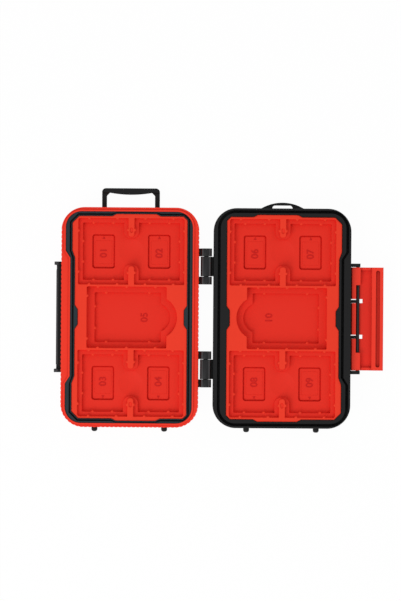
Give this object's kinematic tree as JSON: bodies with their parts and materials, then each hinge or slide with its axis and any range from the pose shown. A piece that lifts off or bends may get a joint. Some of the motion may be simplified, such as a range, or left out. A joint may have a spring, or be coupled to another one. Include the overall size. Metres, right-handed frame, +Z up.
{
  "type": "memory card case",
  "caption": "Pocket hard case for memory cards, like a small suitcase: a fluted lid and a plain base on barrel hinges, stepped card trays, rim seal, hook latch, pull-out handle.",
  "frame": {"origin": "centre of the base shell's flat underside, with the case opened flat on its back", "axes": "+X across the case from the hinge to the latch, +Y along the hinge towards the handle and the lanyard loop, +Z up out of the open trays"},
  "size_m": [0.1603, 0.1186, 0.0147],
  "materials": {
    "red_fluted_plastic": "satin moulded plastic, fluted outside",
    "red_tray_plastic": "fine matt grain",
    "red_latch_plastic": "satin moulded plastic",
    "black_plastic": "satin moulded plastic with a fine grain",
    "slate_rubber": "smooth matt rubber",
    "black_rubber": "matt rubber",
    "black_steel": "blackened rod"
  },
  "bodies": {
    "base": {"base_shell": "black_plastic", "base_tray": "red_tray_plastic", "lanyard_loop": "black_plastic", "base_foot_left": "black_rubber", "base_foot_right": "black_rubber", "latch_pin": "black_steel", "base_hinge_upper": "black_plastic", "base_hinge_lower": "black_plastic"},
    "lid": {"lid_shell": "red_fluted_plastic", "lid_tray": "red_tray_plastic", "lid_seal": "slate_rubber", "latch_keeper": "black_plastic", "lid_foot_left": "black_rubber", "lid_foot_right": "black_rubber", "lid_hinge_upper": "black_plastic", "hinge_pin_upper": "black_steel", "lid_hinge_lower": "black_plastic", "hinge_pin_lower": "black_steel"},
    "latch": {"latch": "red_latch_plastic"},
    "handle": {"pull_handle": "black_plastic", "handle_stop_bar": "black_plastic"}
  },
  "joints": [
    {"name": "lid_fold", "type": "hinge", "parent": "base", "child": "lid", "pos_m": [-0.037, 0, 0.012], "axis": [0, 1, 0], "range_deg": [0, 180]},
    {"name": "latch_swing", "type": "hinge", "parent": "base", "child": "latch", "pos_m": [0.037, 0, 0.0069], "axis": [0, -1, 0], "range_deg": [0, 90]},
    {"name": "handle_pull", "type": "slide", "parent": "lid", "child": "handle", "axis": [0, 1, 0], "range_m": [-0.0056, 0]}
  ]
}
